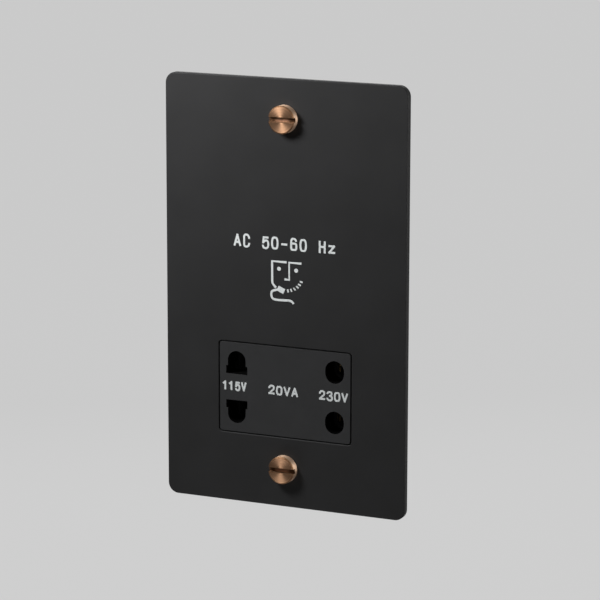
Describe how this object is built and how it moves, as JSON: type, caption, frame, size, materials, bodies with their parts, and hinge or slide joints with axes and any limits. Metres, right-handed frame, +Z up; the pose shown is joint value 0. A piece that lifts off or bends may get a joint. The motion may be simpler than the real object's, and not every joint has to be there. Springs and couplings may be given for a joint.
{
  "type": "shaver socket",
  "caption": "Dual-voltage shaver socket: flat black face plate with slotted brass screws, an insert with 115 V and 230 V pin holes, and an isolating transformer module behind",
  "frame": {"origin": "middle of the two fixing screws, on the wall plane that the back of the face plate lies on", "axes": "x to the right seen from the front, y into the wall, z up"},
  "size_m": [0.089, 0.0474, 0.1474],
  "materials": {
    "plate_paint": "matt black coat",
    "screw_brass": "turned rose brass",
    "insert_black": "satin moulded",
    "housing_grey": "fine spark-eroded texture",
    "carrier_grey": "satin moulded",
    "slide_black": "satin moulded",
    "clear_nylon": "natural nylon",
    "zinc_steel": "zinc plated",
    "spring_steel": "bright drawn",
    "contact_brass": "bright strip",
    "core_iron": "varnished laminations",
    "bobbin_nylon": "natural nylon",
    "winding_copper": "enamelled wire",
    "terminal_ivory": "satin moulded",
    "cutout_case": "potted case",
    "brown_lead": "smooth sleeve",
    "blue_lead": "smooth sleeve",
    "earth_sleeve": "green with a yellow stripe",
    "black_lead": "smooth sleeve",
    "red_lead": "smooth sleeve",
    "white_lead": "smooth sleeve"
  },
  "bodies": {
    "unit": {"front_plate": "plate_paint", "fixing_screws": "screw_brass", "screw_retainers": "clear_nylon", "front_moulding": "insert_black", "plate_studs": "zinc_steel", "stud_washers": "zinc_steel", "stud_nuts": "zinc_steel", "slide_springs": "spring_steel", "switch_contacts": "contact_brass", "contact_carrier": "carrier_grey", "carrier_screws": "zinc_steel", "clips_115": "contact_brass", "clips_230": "contact_brass", "common_link": "contact_brass", "core_e_stack": "core_iron", "core_i_stack": "core_iron", "clamp_bars": "zinc_steel", "core_bolts": "zinc_steel", "bobbin": "bobbin_nylon", "primary_winding": "winding_copper", "secondary_winding": "winding_copper", "winding_pins": "zinc_steel", "thermal_cutout": "cutout_case", "terminal_block": "terminal_ivory", "line_clamps": "contact_brass", "earth_clamp": "contact_brass", "terminal_screws": "zinc_steel", "rear_housing": "housing_grey", "housing_screws": "zinc_steel", "earth_tag": "zinc_steel", "earth_lead": "earth_sleeve", "live_lead": "brown_lead", "neutral_lead": "blue_lead", "switched_lead": "brown_lead", "cutout_lead": "brown_lead", "lead_115": "red_lead", "lead_230": "black_lead", "lead_common": "white_lead"},
    "shutter": {"shutter_slide": "slide_black", "contact_bridge": "contact_brass"}
  },
  "joints": [
    {"name": "shutter_travel", "type": "slide", "parent": "unit", "child": "shutter", "axis": [1, 0, 0], "range_m": [-0.0032, 0.0032], "stiffness_N_per_m": 180, "deforming": ["slide_springs"]}
  ]
}
